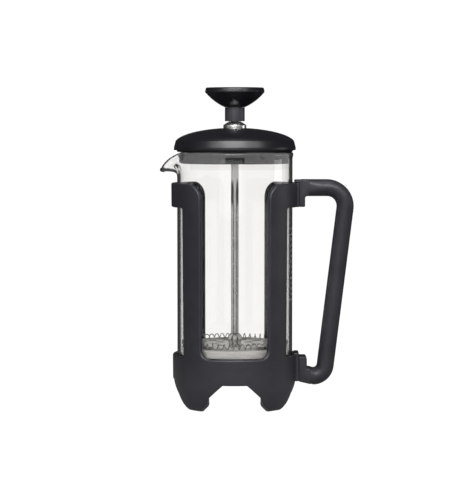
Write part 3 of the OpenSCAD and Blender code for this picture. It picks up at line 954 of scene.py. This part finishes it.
def buildSkirt():
    k = skirtShape
    web = k["top"] - k["web"]
    bm = bmesh.new()
    turned(bm, rounded([(k["inside"], k["low"], 0.35), (k["radius"], k["low"], 0.5),
                        (k["radius"], k["top"], 0.2), (k["webHole"], k["top"], 0.2),
                        (k["webHole"], web, 0.2), (k["inside"], web, 0.6)]), 144)
    mesh = tidyMesh(bm, "lid_skirt_ring", 35)
    cutter = bmesh.new()
    half = k["notchWidth"] / 2
    block(cutter, (-half, k["notchDeep"][0], k["low"] - 3),
          (half, k["notchDeep"][1], k["low"] + k["notchHeight"]), 0.5, 2)
    cutMesh = bpy.data.meshes.new("notch")
    cutter.to_mesh(cutMesh)
    cutter.free()
    cutObject, ringObject = newObject("notch", cutMesh), newObject("ring", mesh)
    cut = ringObject.modifiers.new("notch", "BOOLEAN")
    cut.operation, cut.solver, cut.object = "DIFFERENCE", "EXACT", cutObject
    made = evaluated(ringObject)
    bpy.data.objects.remove(ringObject)
    bpy.data.objects.remove(cutObject)
    bm = bmesh.new()
    bm.from_mesh(made)
    low = k["low"] + k["notchHeight"] + k["ledgeHeight"]
    high = low + k["ledgeHeight"]
    inR, outR = k["ledgeSpan"]
    ledge = [(inR, low), (outR, low, 0.2), (outR, high, 0.2), (inR, high)]
    frontArc(bm, k["ledgeWidth"] / 2, k["ledgeRadius"], 12, lambda i: ledge)
    place("lid_skirt_ring", tidyMesh(bm, "lid_skirt_ring", 35), "skirtPlastic", "lid",
          ["lid_skirt"])


def buildGate():
    # the dark gate that closes the pouring notch from inside, with its pulled-out ribs
    k = skirtShape
    bm = bmesh.new()
    low, high = k["low"] + k["gateLevels"][0], k["low"] + k["notchHeight"] + k["gateLevels"][1]
    inR, outR = k["gateSpan"]

    def gateOutline(i):
        rib = k["rib"] * (0.5 + 0.5 * cos(2 * pi * i / k["ribSteps"]))
        return [(inR, low, 0.2), (outR + rib, low, 0.3), (outR + rib, high, 0.2), (inR, high, 0.2)]

    frontArc(bm, k["notchWidth"] / 2 + k["gateOver"], k["gateRadius"], k["gateSteps"], gateOutline)
    place("pouring_gate", tidyMesh(bm, "pouring_gate", 35), "lidPlastic", "lid")


buildSkirt()
buildGate()

clampNut = {"width": 13, "hole": 4.25, "low": 167.3, "high": 170.9}
strainerNut = {"width": 9, "hole": 2.0, "low": 33.25, "high": 36.75}
nutCut = {"chamfer": 0.35, "inset": 0.3, "face": 0.1, "slope": 0.55, "least": 0.12, "steps": 96}


def hexNut(name, sizes, body, nodes):
    # a hexagon nut with its corners turned off at both faces
    hole, low, high = sizes["hole"], sizes["low"], sizes["high"]
    flat = sizes["width"] / 2
    c = nutCut
    mouth = hole + c["chamfer"]
    rows = []
    for k in range(c["steps"]):
        a = 2 * pi * k / c["steps"]
        within = (degrees(a) + 30) % 60 - 30
        reach = flat / cos(radians(within))
        trim = (reach - flat) * c["slope"] + c["least"]
        face = min(flat, reach - c["inset"]) - c["face"]
        outline = [(mouth, low), (face, low), (reach, low + trim), (reach, high - trim), (face, high),
                   (mouth, high), (hole, high - c["chamfer"]), (hole, low + c["chamfer"])]
        turn = a + pi / 6
        rows.append([(r * cos(turn), r * sin(turn), z) for r, z in outline])
    bm = bmesh.new()
    shell(bm, rows)
    place(name, tidyMesh(bm, name, 25), "plateSteel", body, nodes)


bushShape = {"hole": 2.5, "stem": 4.2, "flange": 7.2, "crown": 4.4, "lip": 2.9, "low": 167.2,
             "seat": 173.3, "rim": 175.9, "top": 177.7, "mouth": 177.3}


def buildBush():
    b = bushShape
    outline = [(b["hole"], b["low"]), (b["stem"], b["low"], 0.2), (b["stem"], b["seat"]),
               (b["flange"], b["seat"] + 0.05, 0.15), (b["flange"], b["rim"], 0.35),
               (b["crown"], b["top"], 0.3), (b["lip"], b["top"], 0.2), (b["hole"], b["mouth"])]
    turnedPiece("bush_collar", outline, "bushChrome", "lid_bush", ["lid_bush"])


buildBush()
clampWasher = {"hole": 4.25, "radius": 7.2, "low": 170.95, "high": 171.68, "soft": (0.1, 0.25, 0.25, 0.1)}
turnedPiece("bush_clamp_washer", ringOutline(clampWasher), "plateSteel", "lid_bush",
            ["bush_washer"])
hexNut("bush_clamp_nut", clampNut, "lid_bush", ["bush_nut"])


# ---- plunger

# the rod's half outline, from its foot up, with the roundings of its corners
rodShape = {"outline": [(0, 39.6), (2.1, 39.6, 0.2), (2.4, 39.9, 0.1), (2.4, 120), (2.4, 192.6, 0.1),
                        (2.1, 193.0, 0.1), (0, 193.0)]}
turnedPiece("rod", rodShape["outline"], "rodSteel", "plunger", ["plunger_rod"], 64)
stopShape = {"hole": 2.45, "radius": 3.9, "low": 177.75, "high": 178.18, "soft": (0.1, 0.15, 0.15, 0.1)}
turnedPiece("stop_ring", ringOutline(stopShape), "framePlastic", "plunger",
            ["stop_washer"], 64)
sleeveShape = {"hole": 4.2, "radius": 6.2, "low": 178.25, "high": 186.9, "soft": (0.1, 0.3, 0.3, 0.1)}
turnedPiece("grip_sleeve", ringOutline(sleeveShape), "collarPlastic", "plunger",
            ["knob_collar"])
insertShape = {"hole": 2.45, "radius": 4.15, "low": 178.3, "high": 193.0, "soft": (0.2, 0.2, 0.3, 0.3)}
turnedPiece("thread_insert", ringOutline(insertShape), "brass", "plunger", ["knob_insert"], 64)

knobShape = {
    "radius": 18.6,
    "bowl": 33.0,  # radius of the underside's curve
    "low": 187.0,
    "neck": 6.4,
    "bowlEnd": (17.8, 195.5),
    "rim": 17.7,
    "top": 199.2,
    "dish": ((12, 0.35), (6.5, 0.55), (4.3, 0.6, 0.5)),  # radius, drop and rounding of the hollow top
    "hole": 4.3,
    "holeLevels": (193.6, 190),
}


def buildKnob():
    k = knobShape
    endX, endZ = k["bowlEnd"]
    chord = Vector((endX - k["neck"], endZ - k["low"]))
    middle = Vector((k["neck"], k["low"])) + chord / 2
    lift = sqrt(k["bowl"] ** 2 - (chord.length / 2) ** 2)
    centre = middle + Vector((-chord.y, chord.x)).normalized() * lift
    startA = degrees(atan2(k["low"] - centre.y, k["neck"] - centre.x))
    endA = degrees(atan2(endZ - centre.y, endX - centre.x))
    outline = [(k["hole"], k["low"] + 0.05, 0.2)]
    outline += arcPoints(centre.x, centre.y, k["bowl"], startA, endA, 12)
    outline += [(k["radius"], endZ + 0.8, 0.5), (k["radius"] - 0.4, k["top"] - 0.7, 0.7),
                (k["rim"], k["top"], 0.6)]
    outline += [(r, k["top"] - drop, *soft) for r, drop, *soft in k["dish"]]
    outline += [(k["hole"], z) for z in k["holeLevels"]]
    turnedPiece("knob_bowl", outline, "lidPlastic", "plunger", ["knob"], 144)


buildKnob()

hubShape = {"radius": 4.6, "low": 39.0, "domeZ": 42.02, "dome": (-12, 60), "neck": (3.8, 3.9, 41.0),
            "top": (2.35, 45.95, 45.9), "stud": 2.0, "studLow": 32.7}


def buildHub():
    h = hubShape
    lowNeck, highNeck, neckZ = h["neck"]
    topR, topZ, tipZ = h["top"]
    outline = [(0, h["studLow"]), (h["stud"] - 0.3, h["studLow"], 0.1), (h["stud"], h["studLow"] + 0.3, 0.1),
               (h["stud"], h["low"]), (lowNeck, h["low"], 0.1), (highNeck, neckZ, 0.3)]
    outline += arcPoints(0, h["domeZ"], h["radius"], *h["dome"], 12)
    outline += [(topR, topZ, 0.1), (0, tipZ)]
    turnedPiece("hub", outline, "hubChrome", "plunger", ["filter_hub"])


buildHub()
hexNut("strainer_nut", strainerNut, "plunger", ["filter_nut"])

gauzeShape = {"radius": 33.6, "inside": 2.1, "top": 38.2, "low": 33.2, "thick": 0.45, "corner": 0.9,
              "stops": (8, 16, 24, 31), "sideStop": 35.5, "hem": 2.3}


def buildGauze():
    # a round of wire cloth turned down at its edge; its UV is in metres along the cloth
    g = gauzeShape
    outer = [(g["inside"], g["top"])] + [(r, g["top"]) for r in g["stops"]]
    outer += arcPoints(g["radius"] - g["corner"], g["top"] - g["corner"], g["corner"], 90, 0, 5)
    outer += [(g["radius"], g["sideStop"]), (g["radius"], g["low"] + 0.1)]
    inner = [(r - (g["thick"] if z < g["top"] - 0.01 else 0),
              z - (g["thick"] if z > g["low"] + g["hem"] else 0)) for r, z in outer]
    bm = bmesh.new()
    turned(bm, outer + list(reversed(inner)), 144)
    bmesh.ops.recalc_face_normals(bm, faces=bm.faces)
    layer = bm.loops.layers.uv.new("cloth")
    for face in bm.faces:
        centre = face.calc_center_median()
        onSide = hypot(centre.x, centre.y) > (g["radius"] - 1.0) * mm
        middle = atan2(centre.y, centre.x)
        for loop in face.loops:
            x, y, z = loop.vert.co
            if onSide:
                a = atan2(y, x)
                a += 2 * pi * round((middle - a) / (2 * pi))
                loop[layer].uv = (a * g["radius"] * mm, z)
            else:
                loop[layer].uv = (x, y)
    place("wire_cloth", tidyMesh(bm, "wire_cloth", 50), "gauze", "plunger", ["filter_mesh"])


buildGauze()
for node in ("spiral_plate", "strainer_plate", "handle_screws"):  # these keep their exact shapes
    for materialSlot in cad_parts[node].material_slots:
        materialSlot.material = look["plateSteel"]


# ---- what repeats: the edge spring's turns and the level marks


def geometryTree(name, inputs):
    tree = bpy.data.node_groups.new(name, "GeometryNodeTree")
    tree.interface.new_socket("Geometry", in_out="INPUT", socket_type="NodeSocketGeometry")
    tree.interface.new_socket("Geometry", in_out="OUTPUT", socket_type="NodeSocketGeometry")
    for label, value in inputs.items():
        kind = "NodeSocketInt" if isinstance(value, int) else "NodeSocketFloat"
        tree.interface.new_socket(label, in_out="INPUT", socket_type=kind).default_value = value
    book = Book(tree)
    sizes = book.add("NodeGroupInput")
    return tree, book, {s.name: Level(book, s) for s in sizes.socket.node.outputs if s.name}


def grow(name, tree, values):
    # runs the tree on an empty mesh and returns the plain mesh that it makes
    holder = newObject(name, bpy.data.meshes.new(name))
    modifier = holder.modifiers.new(name, "NODES")
    modifier.node_group = tree
    for item in tree.interface.items_tree:
        if item.in_out == "INPUT" and item.name in values:
            modifier[item.identifier] = values[item.name]
    mesh = evaluated(holder)
    holder.modifiers.remove(modifier)
    bpy.data.objects.remove(holder)
    return mesh


springSizes = {"ring": 31.5 * mm, "coil": 1.62 * mm, "wire": 0.31 * mm, "height": 40.45 * mm,
               "turns": 54, "steps": 22, "sides": 6, "waves": 7.0, "uneven": 0.03}


def springTree(inputs, material):
    tree, book, size = geometryTree("edge_spring_turns", inputs)
    count = size["turns"] * size["steps"]
    circle = book.add("GeometryNodeCurvePrimitiveCircle", sockets={
        "Resolution": count, "Radius": size["ring"]})
    angle = book.add("GeometryNodeInputIndex") / count * (2 * pi)
    phase = angle * size["turns"]
    uneven = 1 + book.calc("SINE", angle * size["waves"]) * size["uneven"]
    reach = size["ring"] + book.calc("COSINE", phase) * size["coil"] * uneven
    height = size["height"] + book.calc("SINE", phase) * size["coil"] * uneven
    spot = book.join(reach * book.calc("COSINE", angle), reach * book.calc("SINE", angle) * -1.0, height)
    line = book.add("GeometryNodeSetPosition", sockets={"Geometry": circle, "Position": spot})
    section = book.add("GeometryNodeCurvePrimitiveCircle", sockets={
        "Resolution": size["sides"], "Radius": size["wire"]})
    wire = book.add("GeometryNodeCurveToMesh", sockets={"Curve": line, "Profile Curve": section})
    smooth = book.add("GeometryNodeSetShadeSmooth", sockets={"Geometry": wire})
    real = book.add("GeometryNodeRealizeInstances", sockets={"Geometry": smooth})
    done = book.add("GeometryNodeSetMaterial", sockets={"Geometry": real, "Material": material})
    book.add("NodeGroupOutput", sockets={0: done})
    return tree


springMesh = grow("edge_spring_wire", springTree(springSizes, look["springWire"]), springSizes)
place("edge_spring_wire", springMesh, None, "plunger", ["edge_spring"])

markSizes = {"count": 14, "pitch": 3.4 * mm, "low": 67.5 * mm, "radius": 36.03 * mm,
             "wide": 2.6 * mm, "tall": 1.5 * mm, "thick": 0.05 * mm, "angle": radians(-11.0),
             "every": 4, "longer": 0.7}


def markTree(inputs, material):
    tree, book, size = geometryTree("level_marks", inputs)
    points = book.add("GeometryNodeMeshLine", sockets={"Count": size["count"]})
    index = book.add("GeometryNodeInputIndex")
    cosine, sine = book.calc("COSINE", size["angle"]), book.calc("SINE", size["angle"])
    spot = book.join(size["radius"] * cosine, size["radius"] * sine, size["low"] + index * size["pitch"])
    row = book.add("GeometryNodeSetPosition", sockets={"Geometry": points, "Position": spot})
    # each mark is a thin curved tab on the glass, and every fourth one is longer
    longMark = book.calc("LESS_THAN", book.calc("MODULO", index, size["every"]), 0.5)
    tab = book.add("GeometryNodeMeshCube", sockets={
        "Size": book.join(size["thick"], size["wide"], size["tall"]),
        "Vertices X": 2, "Vertices Y": 6, "Vertices Z": 2})
    placed = book.add("GeometryNodeInstanceOnPoints", sockets={
        "Points": row, "Instance": tab, "Rotation": book.join(z=size["angle"]),
        "Scale": book.join(1.0, 1 + longMark * size["longer"], 1.0)})
    real = book.add("GeometryNodeRealizeInstances", sockets={"Geometry": placed})
    # pull every point back to its own distance from the axis, so the tab follows the glass
    px, py, pz = book.split(book.add("GeometryNodeInputPosition"))
    length = book.length(book.join(px, py))
    deep = px * cosine + py * sine
    curved = book.join(px * deep / length, py * deep / length, pz)
    bent = book.add("GeometryNodeSetPosition", sockets={"Geometry": real, "Position": curved})
    done = book.add("GeometryNodeSetMaterial", sockets={"Geometry": bent, "Material": material})
    book.add("NodeGroupOutput", sockets={0: done})
    return tree


markMesh = grow("level_marks", markTree(markSizes, look["ink"]), markSizes)
place("level_marks", markMesh, None, "beaker")


# ---- stage, light and camera

cameraSetup = {"place": (-0.0002, -1.185, 0.177), "down": 3.55, "lens": 141.76, "sensor": 36.0,
               "clip": (0.05, 60)}


def addCamera():
    data = bpy.data.cameras.new("camera")
    data.lens, data.sensor_width = cameraSetup["lens"], cameraSetup["sensor"]
    data.clip_start, data.clip_end = cameraSetup["clip"]
    camera = newObject("camera", data)
    camera.location = cameraSetup["place"]
    camera.rotation_euler = (radians(90 - cameraSetup["down"]), 0, 0)
    scene.camera = camera


lightAim = (0, 0, 0.1)
lights = [
    # name, azimuth and elevation of the light, distance, width, height, radiance
    ("key", -2, 38, 1.5, 1.00, 0.45, 10.0),
    ("wide", 2, 38, 1.9, 3.60, 0.60, 5.0),
    ("front", -8, 3, 2.4, 2.00, 0.80, 1.0),
    ("left", -70, 6, 1.8, 0.50, 1.00, 0.3),
    ("right", 96, 2, 1.8, 0.70, 0.30, 2.5),
    ("top", 0, 78, 1.4, 0.80, 0.40, 3.6),
]


def addLights():
    for name, azimuth, elevation, distance, width, height, radiance in lights:
        a, e = radians(azimuth), radians(elevation)
        toward = Vector((sin(a) * cos(e), -cos(a) * cos(e), sin(e)))
        data = bpy.data.lights.new(name, "AREA")
        data.shape, data.size, data.size_y = "RECTANGLE", width, height
        data.energy = radiance * pi * width * height
        lamp = newObject(name, data)
        lamp.location = Vector(lightAim) + toward * distance
        lamp.rotation_mode = "QUATERNION"
        lamp.rotation_quaternion = toward.to_track_quat("Z", "Y")
        lamp.visible_camera = False
        lamp.visible_transmission = False


roomLevels = {
    "seen": 1.03,  # what is seen directly or straight through the glass
    "shineBack": 0.02,  # what gloss mirrors from behind the object
    "shineFront": 0.30,  # and from the eye's side of it
    "fill": 0.16,  # what falls on dull surfaces
    "edge": 0.06,  # what the glass's own edges mirror
    "insideShine": 0.80,  # gloss and dull surfaces behind the glass
    "insideFill": 2.5,
    "frontSpan": (-0.1, 0.75),  # where the world turns from back to front, as a ray's part along -Y
    "floorShine": 0.28,
    "floorLeast": 0.02,
    "floorNear": 0.32,  # how far the floor shines, in metres
    "floorFade": 0.3,  # the share of that at full shine
    "floorGlow": 1.0,  # what is seen of the floor, with the light on its paper besides
    "paper": (0.06, 0.07),
    "paperFibre": (40, 3, 0.6),
    "floorHalf": 6,
}


def roomRays(book, outside):
    # whether a ray came straight from the eye, and the level for one that did not
    path = book.add("ShaderNodeLightPath").socket.node.outputs
    glossy, diffuse, glazed, within = [
        book.calc("GREATER_THAN", Level(book, path[name]), limit)
        for name, limit in (("Glossy Depth", 0.5), ("Diffuse Depth", 0.5),
                            ("Transmission Depth", 0.5), ("Transmission Depth", 3.5))]
    r = roomLevels
    edge = diffuse * r["fill"] + (1 - diffuse) * r["edge"]
    inside = diffuse * r["insideFill"] + (1 - diffuse) * r["insideShine"]
    level = (1 - glazed) * outside(diffuse) + (glazed - within) * edge + within * inside
    return (1 - glossy) * (1 - diffuse), level


def addRoom():
    world = bpy.data.worlds.new("studio")
    world.use_nodes = True
    scene.world = world
    book = Book(world.node_tree)
    r = roomLevels
    toward = book.split(book.coords("Generated"))[1]
    front = book.ramp(toward * -1.0, *r["frontSpan"], r["shineBack"], r["shineFront"])
    direct, level = roomRays(book, lambda diffuse: diffuse * r["fill"] + (1 - diffuse) * front)
    level = direct * r["seen"] + (1 - direct) * level
    glow = book.add("ShaderNodeBackground", sockets={"Color": level, "Strength": 1.0})
    book.add("ShaderNodeOutputWorld", sockets={"Surface": glow})

    floorMesh = bpy.data.meshes.new("floor")
    half = r["floorHalf"]
    corners = [(-half, -half, 0), (half, -half, 0), (half, half, 0), (-half, half, 0)]
    floorMesh.from_pydata(corners, [], [(0, 1, 2, 3)])
    floor = newObject("floor", floorMesh)
    material, book = finish("floorPaper")
    coords = book.coords()
    near = 1 - book.ramp(book.length(coords), r["floorNear"] * r["floorFade"], r["floorNear"])
    direct, level = roomRays(book, lambda diffuse: near * r["floorShine"] + r["floorLeast"])
    seen = book.add("ShaderNodeEmission", sockets={"Color": (1, 1, 1, 1), "Strength": r["floorGlow"]})
    darker, lighter = r["paper"]
    fibre = book.blend(book.noise(coords, *r["paperFibre"]), grey(darker), grey(lighter))
    paper = book.add("ShaderNodeBsdfDiffuse", sockets={"Color": fibre})
    shown = book.add("ShaderNodeAddShader", sockets={0: seen, 1: paper})
    glow = book.add("ShaderNodeEmission", sockets={"Color": level, "Strength": 1.0})
    both = book.add("ShaderNodeMixShader", sockets={0: direct, 1: glow, 2: shown})
    book.add("ShaderNodeOutputMaterial", sockets={"Surface": both})
    floorMesh.materials.append(material)


addCamera()
addLights()
addRoom()
scene.view_settings.view_transform = "Standard"
print("camera, lights and floor set")
